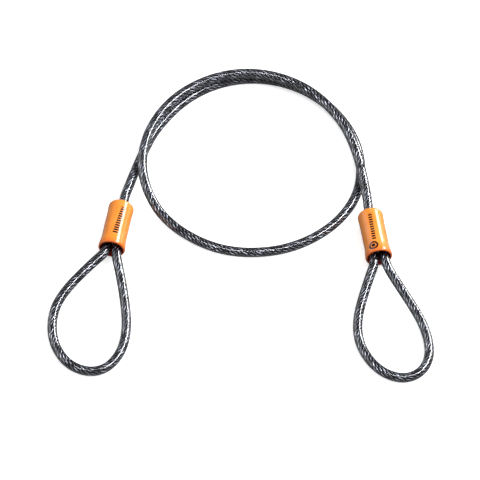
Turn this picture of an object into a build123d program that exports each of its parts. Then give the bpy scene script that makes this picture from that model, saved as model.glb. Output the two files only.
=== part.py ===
from build123d import *
import os
from math import cos, pi, radians, sin, tan

# Double-loop security cable, lying on the ground in a ring of one and a half turns.
# Steel wire rope under a clear vinyl jacket. Each end turns back through a crimped
# ferrule into a closed eye, and a moulded cover is pushed over the ferrule.
# Millimetres, +Z up, ground at z = 0, origin under the middle of the whole object.

os.makedirs("parts", exist_ok=True)

# ---- cable ----
cable_radius = 2.5  # over the jacket
rope_radius = 2.05  # over the six outer strands
core_radius = 0.7  # middle strand
ground = cable_radius  # centreline height of cable on the ground
upper = 7.8  # centreline height of the turn that lies on the lower one

# ---- ends ----
cover_length = 28.5
cover_body_radius = 6.5
cover_shoulder_radius = 6.65
cover_lip_radius = 7.0
cover_bore_radius = 5.7
cover_wall = 1.5  # closed end, round the cable's hole
cover_hole_radius = 3.0
cover_height = cover_lip_radius  # axis over the ground: the lip rests on it
barrel_offset = 2.55  # each ferrule barrel from the cover's axis
ferrule_start = 11.5  # distances along the axis from the cover's closed end
ferrule_length = 12.0
ferrule_end = ferrule_start + ferrule_length
ferrule_width = 2 * cover_bore_radius + 0.1  # gripped by the cover's bore
ferrule_height = 6.0
crimp_depth = 0.3
crimp_width = 1.2
crimp_positions = (2.4, 6.0, 9.6)  # middle of each pressed groove, along the ferrule
tail_tip = ferrule_start - 1.5  # the cut end stands a little out of the ferrule

# Each end: the cover's closed end on plan, the way its mouth faces (degrees from +X),
# the side of the axis that the standing cable takes, +1 towards +X, and how far from
# the closed end the two cables of the eye part.
ends = {
    "left": {"at": (-61.3, 10.2), "faces": -100.5, "standing": 1, "parting": 28.7},
    "right": {"at": (66.6, 4.9), "faces": -80.5, "standing": -1, "parting": 30.8},
}

# ---- routes, as the corners of straight runs joined by tangent arcs ----
# Ring, from the left leg round the lower turn and back over itself to the right leg.
left_joint = (-54.45, 35.25, 3.1)
right_joint = (62.1, 33.95, 7.65)
ring_route = [
    left_joint,
    (-51.1, 45.7, ground),
    (-43.7, 63.6, ground),
    (-27.1, 84.0, ground),
    (-5.5, 94.9, ground),
    (18.0, 95.0, ground),
    (40.1, 84.3, ground),
    (56.9, 63.4, ground),
    (63.0, 40.8, ground),
    (60.6, 19.0, ground),
    (47.6, -0.6, ground),
    (26.3, -14.1, ground),
    (1.8, -17.3, ground),
    (-19.3, -11.6, ground),
    (-39.5, 4.1, ground),
    (-49.7, 22.9, 6.4),
    (-51.4, 42.8, upper),
    (-45.1, 64.4, upper),
    (-31.0, 82.8, upper),
    (-9.2, 94.3, upper),
    (13.8, 94.9, upper),
    (35.7, 84.9, upper),
    (52.1, 65.6, upper),
    (60.0, 45.2, upper),
    right_joint,
]

# Corner of each leg between the ring and its cover.
leg_corner = {"left": (-57.8, 24.8, 3.7), "right": (64.2, 22.7, 7.5)}

# Corners of each eye between its two ends in the cover, from the tail side round.
eye_corners = {
    "left": [
        (-75.5, -25.0, 6.4),
        (-89.8, -40.9, 4.4),
        (-96.4, -53.9, 2.9),
        (-96.9, -70.3, ground),
        (-91.7, -83.1, ground),
        (-84.4, -89.9, ground),
        (-75.0, -92.2, ground),
        (-66.6, -88.1, ground),
        (-60.3, -77.5, ground),
        (-58.1, -62.9, 2.8),
        (-59.8, -45.1, 4.2),
        (-62.4, -29.9, 6.3),
    ],
    "right": [
        (77.0, -31.9, 6.4),
        (86.2, -47.6, 4.4),
        (94.2, -62.5, 2.8),
        (97.4, -78.2, ground),
        (95.1, -88.4, ground),
        (89.5, -94.5, ground),
        (81.2, -96.1, ground),
        (71.9, -91.7, ground),
        (64.8, -83.0, ground),
        (60.4, -71.9, ground),
        (59.9, -59.6, 2.9),
        (62.5, -47.3, 4.3),
        (66.3, -34.5, 6.2),
    ],
}


def seat_of(end):
    """Plane on a cover's closed end: x across the ferrule, y up, z towards the mouth."""
    heading = radians(end["faces"])
    return Plane(
        origin=(*end["at"], cover_height),
        x_dir=(-sin(heading), cos(heading), 0),
        z_dir=(cos(heading), sin(heading), 0),
    )


def in_seat(seat, across, along, up=0.0):
    """A point given from a cover's closed end."""
    return seat.from_local_coords(Vector(across, up, along))


def corner_radii(route):
    """The largest arc that the two runs beside each corner leave room for."""
    points = [Vector(*point) for point in route]
    radii = []
    for before, corner, after in zip(points, points[1:], points[2:]):
        arriving = corner - before
        leaving = after - corner
        shorter = min(arriving.length, leaving.length)
        radii.append(0.45 * shorter / tan(radians(arriving.get_angle(leaving) / 2)))
    return radii


def layers(name, route):
    """The jacket, the strands and the core of one stretch of cable, with its length."""
    radii = corner_radii(route)
    with BuildLine() as centreline:
        FilletPolyline(*route, radius=radii)
    path = centreline.wires()[0]
    start = Plane(origin=path @ 0, z_dir=path % 0)

    with BuildPart() as jacket:
        with BuildSketch(start):
            Circle(cable_radius)
            Circle(rope_radius, mode=Mode.SUBTRACT)
        sweep(path=path)

    with BuildPart() as strands:
        with BuildSketch(start):
            Circle(rope_radius)
            Circle(core_radius, mode=Mode.SUBTRACT)
        sweep(path=path)

    with BuildPart() as core:
        with BuildSketch(start):
            Circle(core_radius)
        sweep(path=path)

    expected = pi * (cable_radius**2 - rope_radius**2) * path.length
    print(
        f"{name}: {path.length:.1f} mm, radii {min(radii):.1f} to {max(radii):.1f} mm,",
        f"jacket volume over section x length {jacket.part.volume / expected:.4f}",
    )
    return jacket.part, strands.part, core.part


def write(piece, label):
    piece.label = label
    export_step(piece, f"parts/{label}.step")


# ---- ring ----
ring_jacket, ring_strands, ring_core = layers("ring", ring_route)
write(ring_jacket, "ring_jacket")
write(ring_strands, "ring_strands")
write(ring_core, "ring_core")

for side, end in ends.items():
    seat = seat_of(end)
    standing = end["standing"] * barrel_offset
    joint = {"left": left_joint, "right": right_joint}[side]

    # ---- leg: from the ring, through the cover's closed end, to the ferrule ----
    leg_route = [
        joint,
        leg_corner[side],
        in_seat(seat, 0.1, -3.0, up=-0.2),
        in_seat(seat, standing, 6.0),
        in_seat(seat, standing, ferrule_start),
    ]
    leg_jacket, leg_strands, leg_core = layers(f"{side} leg", leg_route)
    write(leg_jacket, f"{side}_leg_jacket")
    write(leg_strands, f"{side}_leg_strands")
    write(leg_core, f"{side}_leg_core")

    # ---- eye: from the cut tail out of the ferrule, round, and back through it ----
    eye_route = [
        in_seat(seat, -standing, tail_tip),
        in_seat(seat, -standing, end["parting"]),
        *eye_corners[side],
        in_seat(seat, standing, end["parting"]),
        in_seat(seat, standing, ferrule_start),
    ]
    eye_jacket, eye_strands, eye_core = layers(f"{side} eye", eye_route)

    # the jacket is stripped where the ferrule grips the bare rope
    with BuildPart() as stripped_jacket:
        add(eye_jacket)
        split(bisect_by=seat.offset(ferrule_end), keep=Keep.TOP)

    write(stripped_jacket.part, f"{side}_eye_jacket")
    write(eye_strands, f"{side}_eye_strands")
    write(eye_core, f"{side}_eye_core")

    # ---- ferrule: oval sleeve with two barrels and pressed crimp grooves ----
    with BuildPart() as ferrule:
        with BuildSketch(seat.offset(ferrule_start)):
            SlotOverall(ferrule_width, ferrule_height)
        extrude(amount=ferrule_length)
        chamfer(ferrule.edges().filter_by(GeomType.CIRCLE), 0.3)
        for position in crimp_positions:
            with BuildSketch(seat.offset(ferrule_start + position - crimp_width / 2)):
                Rectangle(ferrule_width + 2, ferrule_height + 2)
                SlotOverall(
                    ferrule_width - 2 * crimp_depth,
                    ferrule_height - 2 * crimp_depth,
                    mode=Mode.SUBTRACT,
                )
            extrude(amount=crimp_width, mode=Mode.SUBTRACT)
        with BuildSketch(seat.offset(ferrule_start)):
            with Locations((-barrel_offset, 0), (barrel_offset, 0)):
                Circle(rope_radius)
        extrude(amount=ferrule_length, mode=Mode.SUBTRACT)
    write(ferrule.part, f"{side}_ferrule")

    # ---- cover: one moulded sleeve, closed but for the cable's hole at one end ----
    half_section = Plane(origin=seat.origin, x_dir=seat.x_dir, z_dir=-seat.y_dir)
    with BuildPart() as cover:
        with BuildSketch(half_section):
            with BuildLine():
                Line((0, 0), (4.65, 0))
                shoulder = RadiusArc((4.65, 0), (cover_shoulder_radius, 2.0), -2.0)
                Spline(
                    shoulder @ 1,
                    (cover_body_radius, 6.0),
                    (cover_body_radius - 0.05, 15.0),
                    (cover_body_radius + 0.1, 23.5),
                    (cover_lip_radius, cover_length - 1.0),
                    tangents=((0, 1), (0, 1)),
                )
                RadiusArc(
                    (cover_lip_radius, cover_length - 1.0),
                    (cover_lip_radius - 0.8, cover_length - 0.2),
                    -0.8,
                )
                Line((cover_lip_radius - 0.8, cover_length - 0.2), (cover_bore_radius, 25.0))
                Line((cover_bore_radius, 25.0), (cover_bore_radius, cover_wall))
                Line((cover_bore_radius, cover_wall), (0, cover_wall))
                Line((0, cover_wall), (0, 0))
            make_face()
        revolve(axis=Axis(seat.origin, seat.z_dir))
        with BuildSketch(seat):
            with Locations((0.42 * standing, -0.1)):
                Circle(cover_hole_radius)
        extrude(amount=cover_wall, mode=Mode.SUBTRACT)
    write(cover.part, f"{side}_cover")
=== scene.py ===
import math

import bpy
import numpy as np
from mathutils import Matrix, Vector


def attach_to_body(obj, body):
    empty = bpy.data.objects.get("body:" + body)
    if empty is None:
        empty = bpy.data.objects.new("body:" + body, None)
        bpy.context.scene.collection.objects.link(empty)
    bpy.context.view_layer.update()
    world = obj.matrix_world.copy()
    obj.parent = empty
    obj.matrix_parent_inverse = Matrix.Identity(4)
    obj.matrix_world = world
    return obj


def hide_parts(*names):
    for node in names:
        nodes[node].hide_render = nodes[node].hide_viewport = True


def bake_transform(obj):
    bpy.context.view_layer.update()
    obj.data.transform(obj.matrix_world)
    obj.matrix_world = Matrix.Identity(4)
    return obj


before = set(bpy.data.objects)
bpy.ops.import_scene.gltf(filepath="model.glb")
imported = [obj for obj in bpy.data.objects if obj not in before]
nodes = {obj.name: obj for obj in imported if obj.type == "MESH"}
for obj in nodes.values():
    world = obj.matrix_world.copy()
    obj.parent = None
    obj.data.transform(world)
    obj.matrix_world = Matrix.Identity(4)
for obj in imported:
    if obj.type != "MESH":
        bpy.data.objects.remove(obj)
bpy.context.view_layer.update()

# The lock is 1.03 m of jacketed wire rope, modelled wire by wire: six strands of three wires
# each, twisted round a middle strand, inside a clear vinyl jacket. The wires in a strand and
# both lays are guesses that look like the photograph. Metres.
CABLE_RADIUS = 0.0025
STRANDS = 6
WIRES = 3  # in each strand
STRAND_CIRCLE = 0.00137  # middle of each strand, from the rope's centreline
WIRE_CIRCLE = 0.00037  # middle of each wire, from its strand's centreline
WIRE_RADIUS = 0.00030
ROPE_LAY = 0.0148  # the strands turn once round the rope in this length, right-handed
WIRE_LAY = 0.0068  # the wires turn once round their strand, left-handed
STEP = 0.0006  # between the sections of the strands
WIRE_SIDES = 8
STRAND_PHASE = 0.9  # the wires of each strand start turned this much from the last's, radians
CORE_RADIUS = 0.00061  # of the middle strand, over the middle of its flutes
CORE_FLUTE = 0.00006  # half their depth
CORE_FLUTES = 6
CORE_LAY = 0.009
CORE_SIDES = 24
JACKET_SIDES = 32
JACKET_EASING = (0.86, 0.96)  # radius of a jacket's last two sections, as shares of the full
GROUND = 0.0025  # centreline height of cable on the ground
UPPER = 0.0078  # centreline height of the turn that lies on the lower one

# Each end: the cover's closed end on plan, the way its mouth faces (degrees from +X), the
# side of the axis that the standing cable takes, +1 towards +X, and how far from the closed
# end the eye's two cables are kept straight and then part.
ENDS = {
    "left": {
        "at": (-0.0613, 0.0102),
        "faces": -100.5,
        "standing": 1,
        "straight": 0.0220,
        "parting": 0.0308,
    },
    "right": {
        "at": (0.0666, 0.0049),
        "faces": -80.5,
        "standing": -1,
        "straight": 0.0233,
        "parting": 0.0310,
    },
}
COVER_HEIGHT = 0.0070  # axis over the ground
COVER_LENGTH = 0.0285
COVER_RADIUS = 0.0065

# Distances along the cover's axis from its closed end, and of each cable from that axis.
FERRULE_START = 0.0115
FERRULE_END = 0.0235
TAIL_TIP = FERRULE_START - 0.0015  # the cut end stands a little out of the ferrule
LEG_ALIGNED = 0.0060  # the leg turns here to lie in line with its ferrule barrel
BARREL_OFFSET = 0.00255
STRAIGHT_OFFSET = 0.00250
PARTING_OFFSET = 0.00275
LEG_ENTRY = {"x": 0.0001, "z": -0.0030, "up": -0.0002}  # just outside the cover's hole

LEFT_JOINT = (-0.05445, 0.03525, 0.0031)
RIGHT_JOINT = (0.0621, 0.03395, 0.00765)
RING_ROUTE = [
    LEFT_JOINT,
    (-0.0511, 0.0457, GROUND),
    (-0.0437, 0.0636, GROUND),
    (-0.0271, 0.0840, GROUND),
    (-0.0055, 0.0949, GROUND),
    (0.0180, 0.0950, GROUND),
    (0.0401, 0.0843, GROUND),
    (0.0569, 0.0634, GROUND),
    (0.0630, 0.0408, GROUND),
    (0.0606, 0.0190, GROUND),
    (0.0476, -0.0006, GROUND),
    (0.0263, -0.0141, GROUND),
    (0.0018, -0.0173, GROUND),
    (-0.0193, -0.0116, GROUND),
    (-0.0395, 0.0041, GROUND),
    (-0.0497, 0.0229, 0.0064),
    (-0.0514, 0.0428, UPPER),
    (-0.0451, 0.0644, UPPER),
    (-0.0310, 0.0828, UPPER),
    (-0.0092, 0.0943, UPPER),
    (0.0138, 0.0949, UPPER),
    (0.0357, 0.0849, UPPER),
    (0.0521, 0.0656, UPPER),
    (0.0600, 0.0452, UPPER),
    RIGHT_JOINT,
]
LEG_CORNER = {"left": (-0.0578, 0.0248, 0.0037), "right": (0.0642, 0.0227, 0.0075)}
EYE_CORNERS = {
    "left": [
        (-0.0755, -0.0250, 0.0064),
        (-0.0898, -0.0409, 0.0044),
        (-0.0964, -0.0539, 0.0029),
        (-0.0969, -0.0703, GROUND),
        (-0.0917, -0.0831, GROUND),
        (-0.0844, -0.0899, GROUND),
        (-0.0750, -0.0922, GROUND),
        (-0.0666, -0.0881, GROUND),
        (-0.0603, -0.0775, GROUND),
        (-0.0581, -0.0629, 0.0028),
        (-0.0598, -0.0451, 0.0042),
        (-0.0624, -0.0299, 0.0063),
    ],
    "right": [
        (0.0770, -0.0319, 0.0064),
        (0.0862, -0.0476, 0.0044),
        (0.0942, -0.0625, 0.0028),
        (0.0974, -0.0782, GROUND),
        (0.0951, -0.0884, GROUND),
        (0.0895, -0.0945, GROUND),
        (0.0812, -0.0961, GROUND),
        (0.0719, -0.0917, GROUND),
        (0.0648, -0.0830, GROUND),
        (0.0604, -0.0719, GROUND),
        (0.0599, -0.0596, 0.0029),
        (0.0625, -0.0473, 0.0043),
        (0.0665, -0.0339, 0.0062),
    ],
}


# ---------------------------------------------------------------- routes
# The lists above are control points, and the curve passes inside them. They repeat part.py's,
# but for the right eye's last corner and the points that keep the eyes straight in their
# covers and then part their cables.
def seat(side):
    """The cover's axes: the middle of its closed end, across, and towards its mouth."""
    heading = math.radians(ENDS[side]["faces"])
    origin = Vector((*ENDS[side]["at"], COVER_HEIGHT))
    across = Vector((-math.sin(heading), math.cos(heading), 0))
    along = Vector((math.cos(heading), math.sin(heading), 0))
    return origin, across, along


def in_seat(side, x, z, up=0.0):
    """A point given from a cover's closed end: x across, z towards the mouth."""
    origin, across, along = seat(side)
    return tuple(origin + across * x + along * z + Vector((0, 0, up)))


def route_line(name, corners):
    """Points along the smooth NURBS curve that these control points give."""
    data = bpy.data.curves.new(name, "CURVE")
    data.dimensions = "3D"
    spline = data.splines.new("NURBS")
    spline.points.add(len(corners) - 1)
    for point, corner in zip(spline.points, corners):
        point.co = (*corner, 1)
    spline.order_u = 3
    spline.use_endpoint_u = True
    spline.resolution_u = 24
    route = bpy.data.objects.new(name, data)
    bpy.context.scene.collection.objects.link(route)
    bpy.context.view_layer.update()
    mesh = bpy.data.meshes.new_from_object(route)
    line = np.array([v.co for v in mesh.vertices], float).reshape(-1, 3)
    bpy.data.meshes.remove(mesh)
    bpy.data.objects.remove(route)
    bpy.data.curves.remove(data)
    return line


def even_line(line, step):
    """The same line with points an equal distance apart, its two ends kept."""
    run = np.r_[0, np.cumsum(np.linalg.norm(np.diff(line, axis=0), axis=1))]
    wanted = np.linspace(0, run[-1], max(2, round(run[-1] / step)) + 1)
    return np.column_stack([np.interp(wanted, run, line[:, k]) for k in range(3)])


stretches = {}
for side in ("left", "right"):
    way = ENDS[side]["standing"]
    standing = way * BARREL_OFFSET
    straight, parting = ENDS[side]["straight"], ENDS[side]["parting"]
    eye = [
        in_seat(side, -standing, TAIL_TIP),
        in_seat(side, -way * STRAIGHT_OFFSET, straight),
        in_seat(side, -way * PARTING_OFFSET, parting),
        *EYE_CORNERS[side],
        in_seat(side, way * PARTING_OFFSET, parting),
        in_seat(side, way * STRAIGHT_OFFSET, straight),
        in_seat(side, standing, FERRULE_START),
    ]
    leg = [
        in_seat(side, standing, FERRULE_START),
        in_seat(side, standing, LEG_ALIGNED),
        in_seat(side, **LEG_ENTRY),
        LEG_CORNER[side],
        LEFT_JOINT if side == "left" else RIGHT_JOINT,
    ]
    stretches[f"{side}_eye"] = even_line(route_line(f"{side}_eye_route", eye), STEP)
    stretches[f"{side}_leg"] = even_line(route_line(f"{side}_leg_route", leg), STEP)
stretches["ring"] = even_line(route_line("ring_route", RING_ROUTE), STEP)

# One line from tail to tail, so that the strands run on through every stretch. The way of a
# stretch is -1 where its own points run against the line.
ORDER = [("left_eye", 1), ("left_leg", 1), ("ring", 1), ("right_leg", -1), ("right_eye", -1)]
spans, joined = {}, []
for name, way in ORDER:
    line = stretches[name][::way]
    start = max(0, len(joined) - 1)
    joined.extend(line if not joined else line[1:])
    spans[name] = (start, len(joined))
centre = np.array(joined)
run = np.r_[0, np.cumsum(np.linalg.norm(np.diff(centre, axis=0), axis=1))]


def unit(v):
    """The same vectors, each one unit long."""
    return v / np.linalg.norm(v, axis=-1, keepdims=True)


# Sections that don't twist: each is the last one turned with the tangent.
tangent = unit(np.gradient(centre, axis=0))
first = np.empty_like(centre)
aim = np.cross(tangent[0], (0.0, 0.0, 1.0))
for i, t in enumerate(tangent):
    aim = aim - t * aim.dot(t)
    aim = aim / np.linalg.norm(aim)
    first[i] = aim
second = np.cross(tangent, first)


# ---------------------------------------------------------------- mesh helpers
def tube_parts(line, radius, sides, a, b):
    """Vertices and faces of one round tube along a line, with its sections' axes given."""
    turn = np.linspace(0, 2 * np.pi, sides, endpoint=False)
    rings = (
        line[:, None, :]
        + radius * np.cos(turn)[None, :, None] * a[:, None, :]
        + radius * np.sin(turn)[None, :, None] * b[:, None, :]
    )
    count = len(line)
    i = np.arange(count - 1)[:, None] * sides
    j = np.arange(sides)[None, :]
    k = (j + 1) % sides
    quads = np.stack([i + j, i + k, i + sides + k, i + sides + j], axis=-1).reshape(-1, 4)
    return rings.reshape(-1, 3), quads


def mesh_object(name, parts, tones=None, caps=False, sides=0):
    """One mesh from several tubes, smooth all over, with a tone for each tube."""
    verts, faces, tone = [], [], []
    offset = 0
    for index, (v, f) in enumerate(parts):
        verts.append(v)
        faces.extend((f + offset).tolist())
        if caps:
            faces.append([offset + n for n in range(sides)][::-1])
            faces.append([offset + len(v) - sides + n for n in range(sides)])
        if tones is not None:
            tone.extend([tones[index]] * len(v))
        offset += len(v)
    data = bpy.data.meshes.new(name)
    data.from_pydata(np.concatenate(verts).tolist(), [], faces)
    data.polygons.foreach_set("use_smooth", [True] * len(data.polygons))
    if tones is not None:
        layer = data.attributes.new("tone", "FLOAT", "POINT")
        layer.data.foreach_set("value", np.array(tone, np.float32))
    data.validate()
    data.update()
    made = bpy.data.objects.new(name, data)
    bpy.context.scene.collection.objects.link(made)
    return made


def wire_rope(name, start, stop):
    """The strands and their wires over one span of the cable's line.

    Each wire has a tone, spread over 0 to 1, and each point its height over the rope's
    centreline, in mm.
    """
    c, t = centre[start:stop], tangent[start:stop]
    n, m, s = first[start:stop], second[start:stop], run[start:stop]
    parts, tones, heights = [], [], []
    for strand in range(STRANDS):
        phi = 2 * np.pi * (s / ROPE_LAY + strand / STRANDS)
        out = np.cos(phi)[:, None] * n + np.sin(phi)[:, None] * m
        around = -np.sin(phi)[:, None] * n + np.cos(phi)[:, None] * m
        line = c + STRAND_CIRCLE * out
        way = unit(t + STRAND_CIRCLE * 2 * np.pi / ROPE_LAY * around)
        beside = unit(np.cross(way, out))
        for wire in range(WIRES):
            psi = -2 * np.pi * (s / WIRE_LAY + wire / WIRES) + strand * STRAND_PHASE
            reach = np.cos(psi)[:, None] * out + np.sin(psi)[:, None] * beside
            path = line + WIRE_CIRCLE * reach
            ahead = unit(np.gradient(path, axis=0))
            a = unit(reach - ahead * np.sum(reach * ahead, axis=1, keepdims=True))
            tube = tube_parts(path, WIRE_RADIUS, WIRE_SIDES, a, np.cross(ahead, a))
            parts.append(tube)
            tones.append(((strand * 7 + wire * 5) % 11) / 10)
            gap = tube[0].reshape(len(c), WIRE_SIDES, 3) - c[:, None, :]
            heights.append(np.linalg.norm(gap, axis=2).ravel())
    made = mesh_object(name, parts, tones)
    layer = made.data.attributes.new("height", "FLOAT", "POINT")
    layer.data.foreach_set("value", (np.concatenate(heights) * 1000).astype(np.float32))
    return made


def core_strand(name, start, stop):
    """The middle strand: a fluted rod, twisted like the wires that it is made of."""
    c, n, m, s = centre[start:stop], first[start:stop], second[start:stop], run[start:stop]
    turn = np.linspace(0, 2 * np.pi, CORE_SIDES, endpoint=False)
    twist = 2 * np.pi * s / CORE_LAY
    angle = turn[None, :] + twist[:, None]
    radius = CORE_RADIUS + CORE_FLUTE * np.cos(CORE_FLUTES * turn)[None, :]
    rings = (
        c[:, None, :]
        + (radius * np.cos(angle))[:, :, None] * n[:, None, :]
        + (radius * np.sin(angle))[:, :, None] * m[:, None, :]
    )
    _, quads = tube_parts(c, 1.0, CORE_SIDES, n, m)
    tube = (rings.reshape(-1, 3), quads)
    return mesh_object(name, [tube], tones=[0.5], caps=True, sides=CORE_SIDES)


def jacket_tube(name, line, n, m):
    """The clear vinyl: solid glass-like plastic round the wires, with slightly eased ends."""
    radius = np.full(len(line), CABLE_RADIUS)
    for k, share in enumerate(JACKET_EASING):
        radius[k] = radius[-1 - k] = CABLE_RADIUS * share
    tube = tube_parts(line, radius[:, None, None], JACKET_SIDES, n, m)
    return mesh_object(name, [tube], caps=True, sides=JACKET_SIDES)


# ---------------------------------------------------------------- material helpers
def material(name):
    """A new material, its tree, a Principled shader and the output's socket, not yet linked."""
    made = bpy.data.materials.new(name)
    made.use_nodes = True
    tree = made.node_tree
    tree.nodes.clear()
    out = tree.nodes.new("ShaderNodeOutputMaterial")
    shader = tree.nodes.new("ShaderNodeBsdfPrincipled")
    return made, tree, shader, out.inputs["Surface"]


def node(tree, kind, **settings):
    made = tree.nodes.new(kind)
    for key, value in settings.items():
        setattr(made, key, value)
    return made


def set_inputs(made, values):
    for socket, value in values.items():
        made.inputs[socket].default_value = value


def link(tree, source, target):
    tree.links.new(source, target)


def math_node(tree, operation, *values):
    """A Math node on numbers or sockets."""
    made = node(tree, "ShaderNodeMath", operation=operation)
    for socket, value in enumerate(values):
        if isinstance(value, (int, float)):
            made.inputs[socket].default_value = value
        else:
            link(tree, value, made.inputs[socket])
    return made.outputs[0]


def between(tree, value, low, high):
    """1 where the value lies between two numbers, and 0 elsewhere."""
    above = math_node(tree, "GREATER_THAN", value, low)
    below = math_node(tree, "LESS_THAN", value, high)
    return math_node(tree, "MULTIPLY", above, below)


def ramp(tree, factor, stops):
    made = tree.nodes.new("ShaderNodeValToRGB")
    elements = made.color_ramp.elements
    while len(elements) < len(stops):
        elements.new(0.5)
    for element, (position, colour) in zip(elements, stops):
        element.position = position
        element.color = (*colour, 1)
    link(tree, factor, made.inputs[0])
    return made.outputs[0]


def map_range(tree, value, ends, **settings):
    made = node(tree, "ShaderNodeMapRange", **settings)
    set_inputs(made, ends)
    link(tree, value, made.inputs["Value"])
    return made.outputs["Result"]


def mix_colours(tree, factor, a, b, **settings):
    """A Mix node between two colours, with each input a value or a socket."""
    made = node(tree, "ShaderNodeMix", data_type="RGBA", **settings)
    for socket, value in (("Factor", factor), ("A", a), ("B", b)):
        if isinstance(value, (float, tuple)):
            made.inputs[socket].default_value = value
        else:
            link(tree, value, made.inputs[socket])
    return made.outputs["Result"]


def mix_shaders(tree, ray, otherwise, on_ray, surface):
    """One shader for one kind of ray, and another for the rest."""
    path = tree.nodes.new("ShaderNodeLightPath")
    mix = tree.nodes.new("ShaderNodeMixShader")
    link(tree, path.outputs[ray], mix.inputs[0])
    link(tree, otherwise.outputs[0], mix.inputs[1])
    link(tree, on_ray.outputs[0], mix.inputs[2])
    link(tree, mix.outputs[0], surface)


def noise(tree, scale, detail):
    place = tree.nodes.new("ShaderNodeTexCoord")
    made = tree.nodes.new("ShaderNodeTexNoise")
    set_inputs(made, {"Scale": scale, "Detail": detail})
    link(tree, place.outputs["Object"], made.inputs["Vector"])
    return made.outputs["Fac"]


def roughen(tree, shader, texture, low, high):
    """Roughness between two values, as a texture has it."""
    rough = map_range(tree, texture, {"To Min": low, "To Max": high})
    link(tree, rough, shader.inputs["Roughness"])


def emboss(tree, shader, texture, strength, distance):
    bump = tree.nodes.new("ShaderNodeBump")
    set_inputs(bump, {"Strength": strength, "Distance": distance})
    link(tree, texture, bump.inputs["Height"])
    link(tree, bump.outputs["Normal"], shader.inputs["Normal"])


# ---------------------------------------------------------------- materials
def wire_material():
    made, tree, shader, surface = material("galvanised_wire")
    set_inputs(shader, {"Metallic": 1.0})
    tone = node(tree, "ShaderNodeAttribute", attribute_name="tone")
    patches = noise(tree, scale=420, detail=3)
    mixed = math_node(
        tree, "ADD",
        math_node(tree, "MULTIPLY", tone.outputs["Fac"], 0.45),
        math_node(tree, "MULTIPLY", patches, 0.55),
    )
    colour = ramp(tree, mixed, [
        (0.25, (0.10, 0.103, 0.126)),
        (0.5, (0.27, 0.276, 0.324)),
        (0.75, (0.71, 0.732, 0.85)),
    ])
    # painted shade: the wires' colour darkens where they lie deep between the strands, and
    # stays full where they come to the outside
    height = node(tree, "ShaderNodeAttribute", attribute_name="height")
    painted_shade = map_range(
        tree, height.outputs["Fac"],
        {"From Min": 1.70, "From Max": 2.02, "To Min": 0.02},
        interpolation_type="SMOOTHSTEP",
    )
    colour_with_painted_shade = mix_colours(tree, 1.0, colour, painted_shade, blend_type="MULTIPLY")
    link(tree, colour_with_painted_shade, shader.inputs["Base Color"])
    roughen(tree, shader, patches, low=0.22, high=0.42)
    emboss(tree, shader, noise(tree, scale=2600, detail=2), strength=0.15, distance=0.00005)
    link(tree, shader.outputs[0], surface)
    return made


def vinyl_material():
    made, tree, shader, surface = material("clear_vinyl")
    # painted shade: the tint darkens to near black towards the cable's outline as it is seen,
    # standing for the longer way light takes through the vinyl there
    facing = node(tree, "ShaderNodeLayerWeight")
    set_inputs(facing, {"Blend": 0.5})
    tint_with_painted_edge = ramp(tree, facing.outputs["Facing"], [
        (0.30, (0.94, 0.955, 0.98)),
        (0.55, (0.50, 0.51, 0.54)),
        (0.80, (0.10, 0.10, 0.11)),
    ])
    link(tree, tint_with_painted_edge, shader.inputs["Base Color"])
    set_inputs(shader, {
        "Transmission Weight": 1.0,
        "Roughness": 0.03,
        "IOR": 1.5,
        "Coat Weight": 1.0,
        "Coat Roughness": 0.07,
        "Coat IOR": 1.6,
    })
    emboss(tree, shader, noise(tree, scale=90, detail=2), strength=0.05, distance=0.0002)
    # shadow rays pass, so that the wires inside are lit
    clear = node(tree, "ShaderNodeBsdfTransparent")
    set_inputs(clear, {"Color": (0.93, 0.95, 0.98, 1)})
    mix_shaders(tree, "Is Shadow Ray", shader, clear, surface)
    return made


# The stripes on each cover: their middle at the closed end, round the cover from the top, how
# far it moves per metre along, their half width, and where they start and stop.
PRINT = {
    "left": (0.0028, 0.095, 0.0014, 0.0050, 0.0223),
    "right": (-0.0007, 0.028, 0.00100, 0.0040, 0.0205),
}
STRIPE_HALF_PITCH = 0.00074
STRIPE_HALF_GAP = 0.00024
DISC_GIRTH = -0.0023  # the ring's middle, round the cover and along the axis
DISC_ALONG = 0.0243
DISC_DOT = 0.0011
DISC_RING = (0.00155, 0.0026)
REDDER_LIP = 0.0035  # length of the mouth end that is redder
BORE_SHADE_REACH = 0.00625  # the bore's painted shade lies nearer to the axis than this
BORE_SHADE_START = 0.0022


def cover_print(tree, side, x, y, z):
    """A row of plain cross stripes on top, and on the right cover also a ring round a dot."""
    girth = math_node(tree, "MULTIPLY", math_node(tree, "ARCTAN2", x, y), COVER_RADIUS)
    middle, slant, half, first_stripe, last_stripe = PRINT[side]
    stripes = math_node(tree, "PINGPONG", z, STRIPE_HALF_PITCH)
    beside = math_node(tree, "ADD", girth, math_node(tree, "MULTIPLY", z, slant))
    band = math_node(
        tree, "MULTIPLY",
        between(tree, z, first_stripe, last_stripe),
        between(tree, beside, middle - half, middle + half),
    )
    mark = math_node(
        tree, "MULTIPLY", math_node(tree, "GREATER_THAN", stripes, STRIPE_HALF_GAP), band
    )
    if side == "left":
        return mark
    dx = math_node(tree, "SUBTRACT", girth, DISC_GIRTH)
    dz = math_node(tree, "SUBTRACT", z, DISC_ALONG)
    dx, dz = (math_node(tree, "MULTIPLY", d, d) for d in (dx, dz))
    gap = math_node(tree, "SQRT", math_node(tree, "ADD", dx, dz))
    disc = math_node(
        tree, "ADD",
        math_node(tree, "LESS_THAN", gap, DISC_DOT),
        between(tree, gap, *DISC_RING),
    )
    return math_node(tree, "MAXIMUM", mark, disc)


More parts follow.
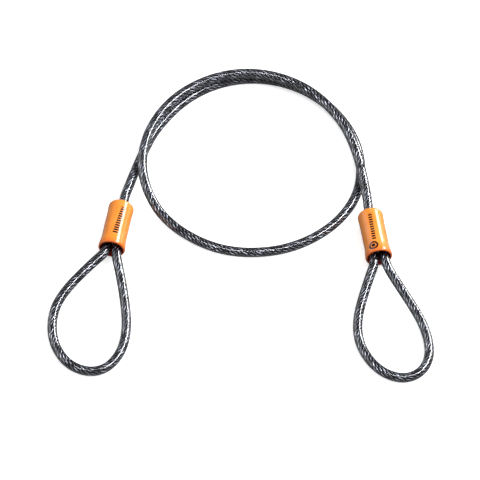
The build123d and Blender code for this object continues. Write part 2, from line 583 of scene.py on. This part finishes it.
def cover_material(side):
    """Glossy orange moulding with a plain dark mark printed along its top."""
    made, tree, shader, surface = material(f"orange_moulding_{side}")
    set_inputs(shader, {"IOR": 1.5, "Coat Weight": 0.6, "Coat Roughness": 0.04})

    origin, across, along = seat(side)
    place = node(tree, "ShaderNodeTexCoord")
    turned = node(tree, "ShaderNodeVectorMath", operation="SUBTRACT")
    turned.inputs[1].default_value = origin
    link(tree, place.outputs["Object"], turned.inputs[0])

    def measure(axis):
        """How far a point lies from the middle of the closed end, along an axis."""
        dot = node(tree, "ShaderNodeVectorMath", operation="DOT_PRODUCT")
        dot.inputs[1].default_value = axis
        link(tree, turned.outputs[0], dot.inputs[0])
        return dot.outputs["Value"]

    x, y, z = measure(across), measure(Vector((0, 0, 1))), measure(along)

    clouds = noise(tree, scale=160, detail=3)
    orange = ramp(tree, clouds, [
        (0.3, (0.94, 0.27, 0.030)),
        (0.55, (1.0, 0.31, 0.042)),
        (0.8, (1.0, 0.35, 0.060)),
    ])
    # the mouth end is a little redder, as thin plastic is
    lip = map_range(tree, z, {"From Min": COVER_LENGTH - REDDER_LIP, "From Max": COVER_LENGTH})
    colour = mix_colours(tree, lip, orange, (0.90, 0.16, 0.018, 1))
    colour = mix_colours(
        tree, cover_print(tree, side, x, y, z), colour, (0.030, 0.005, 0.005, 1)
    )
    # painted shade: the bore is coloured a deeper, darker red, for the shade inside the cover
    reach = math_node(
        tree, "ADD",
        math_node(tree, "MULTIPLY", x, x),
        math_node(tree, "MULTIPLY", y, y),
    )
    painted_bore_shade = math_node(
        tree, "MULTIPLY",
        math_node(tree, "LESS_THAN", reach, BORE_SHADE_REACH**2),
        math_node(tree, "GREATER_THAN", z, BORE_SHADE_START),
    )
    colour = mix_colours(tree, painted_bore_shade, colour, (0.50, 0.05, 0.03, 1))
    link(tree, colour, shader.inputs["Base Color"])
    roughen(tree, shader, noise(tree, scale=900, detail=2), low=0.16, high=0.28)
    emboss(tree, shader, clouds, strength=0.08, distance=0.0001)
    link(tree, shader.outputs[0], surface)
    return made


def ferrule_material():
    made, tree, shader, surface = material("pressed_aluminium")
    set_inputs(shader, {"Metallic": 1.0})
    clouds = noise(tree, scale=700, detail=4)
    tone = ramp(tree, clouds, [
        (0.3, (0.55, 0.56, 0.57)),
        (0.7, (0.78, 0.79, 0.80)),
    ])
    link(tree, tone, shader.inputs["Base Color"])
    roughen(tree, shader, clouds, low=0.3, high=0.5)
    emboss(tree, shader, clouds, strength=0.25, distance=0.00008)
    link(tree, shader.outputs[0], surface)
    return made


wire = wire_material()
vinyl = vinyl_material()
aluminium = ferrule_material()


def paint(obj, made):
    obj.data.materials.clear()
    obj.data.materials.append(made)


# ---------------------------------------------------------------- camera
ELEVATION = 54.0
FIELD = 0.2474  # width of the view at the target
SENSOR = 36
target = Vector((-0.0003, -0.0066, 0.0))
distance = 8.0  # far off, with a long lens, as the photographed lock shows no perspective
camera_data = bpy.data.cameras.new("camera")
camera_data.lens = SENSOR * distance / FIELD
camera_data.sensor_width = SENSOR
camera_data.clip_start = 0.05
camera_data.clip_end = 40
camera = bpy.data.objects.new("camera", camera_data)
bpy.context.scene.collection.objects.link(camera)
angle = math.radians(ELEVATION)
camera.location = target + Vector((0, -math.cos(angle), math.sin(angle))) * distance
camera.rotation_euler = (math.radians(90 - ELEVATION), 0, 0)
bpy.context.scene.camera = camera

# ---------------------------------------------------------------- cable pieces
# About how many points of each stretch's line are kept in its path.
CORD_POINTS = 240


def attach(piece, name):
    """The ring's pieces ride it and an eye's ride their end; a leg's keep their place, their
    transform applied.
    """
    if name == "ring":
        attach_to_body(piece, "ring")
    elif name.endswith("_eye"):
        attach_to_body(piece, name.replace("_eye", "_end"))
    else:
        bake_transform(piece)


for name, way in ORDER:
    start, stop = spans[name]
    # the ring's wires are made in two pieces
    half = (start + stop) // 2
    pieces = [(start, half + 1), (half, stop)] if name == "ring" else [(start, stop)]
    for number, (a, b) in enumerate(pieces):
        label = f"{name}_wires_{number + 1}" if name == "ring" else f"{name}_wires"
        wires = wire_rope(label, a, b)
        paint(wires, wire)
        attach(wires, name)
        if number == 0:
            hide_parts(f"{name}_strands")
    middle = core_strand(f"{name}_middle_strand", start, stop)
    paint(middle, wire)
    attach(middle, name)
    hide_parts(f"{name}_core")

    line, n, m = centre[start:stop], first[start:stop], second[start:stop]
    if name.endswith("_eye"):
        # the jacket is stripped where the ferrule grips the bare rope
        origin, across, along = seat(name.split("_")[0])
        keep = np.flatnonzero((line - np.array(origin)) @ np.array(along) >= FERRULE_END)
        line, n, m = (v[keep[0]:keep[-1] + 1] for v in (line, n, m))
    jacket = jacket_tube(f"{name}_vinyl", line, n, m)
    paint(jacket, vinyl)
    attach(jacket, name)
    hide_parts(f"{name}_jacket")
    path = line[::max(1, len(line) // CORD_POINTS)].tolist() + [line[-1].tolist()]
    path = path[::way]

# ---------------------------------------------------------------- ends
for side in ("left", "right"):
    paint(nodes[f"{side}_cover"], cover_material(side))
    paint(nodes[f"{side}_ferrule"], aluminium)

# ---------------------------------------------------------------- floor and light
FLOOR = 4  # half its side
floor_data = bpy.data.meshes.new("floor")
floor_data.from_pydata(
    [(-FLOOR, -FLOOR, 0), (FLOOR, -FLOOR, 0), (FLOOR, FLOOR, 0), (-FLOOR, FLOOR, 0)],
    [],
    [(0, 1, 2, 3)],
)
floor = bpy.data.objects.new("floor", floor_data)
bpy.context.scene.collection.objects.link(floor)
pale, tree, shader, surface = material("pale_floor")
set_inputs(shader, {
    "Base Color": (0.88, 0.88, 0.88, 1),
    "Roughness": 0.9,
    "Specular IOR Level": 0.1,
    "Emission Color": (1, 1, 1, 1),
    "Emission Strength": 0.6,
})
# the photographed floor is cut out to white, so the lock mirrors a greyer one
mirrored = node(tree, "ShaderNodeBsdfDiffuse")
set_inputs(mirrored, {"Color": (0.28, 0.28, 0.28, 1)})
mix_shaders(tree, "Is Camera Ray", mirrored, shader, surface)
paint(floor, pale)

world = bpy.data.worlds.new("studio")
bpy.context.scene.world = world
world.use_nodes = True
set_inputs(world.node_tree.nodes["Background"], {"Color": (1, 1, 1, 1), "Strength": 0.16})


def softbox(name, at, aim, size, power, roll):
    """A rectangular light at a place, facing a point, its long side along roll."""
    data = bpy.data.lights.new(name, "AREA")
    data.shape = "RECTANGLE"
    data.size, data.size_y = size
    data.energy = power
    made = bpy.data.objects.new(name, data)
    bpy.context.scene.collection.objects.link(made)
    front = (Vector(at) - Vector(aim)).normalized()
    length = (Vector(roll) - front * front.dot(Vector(roll))).normalized()
    width = length.cross(front)
    turn = Matrix((width, length, front)).transposed()
    made.matrix_world = Matrix.Translation(at) @ turn.to_4x4()
    made.visible_camera = False
    return made


softbox("side_strip", (1.93, 1.04, 2.02), (0, 0, 0), (0.95, 4.0), 150, roll=(0.10, 0.88, -0.45))
softbox("top_strip", (0, -0.38, 3.0), (0, 0, 0), (0.45, 2.8), 30, roll=(1, 0, 0))
softbox("left_fill", (-2.50, 0.60, 1.30), (0, 0, 0), (2.2, 3.0), 20, roll=(0, 1, 0))
softbox("edge_strip", (2.90, 1.90, 0.25), (0, 0, 0.01), (0.3, 2.2), 8, roll=(-0.55, 0.84, 0))

bpy.context.scene.view_settings.view_transform = "Standard"
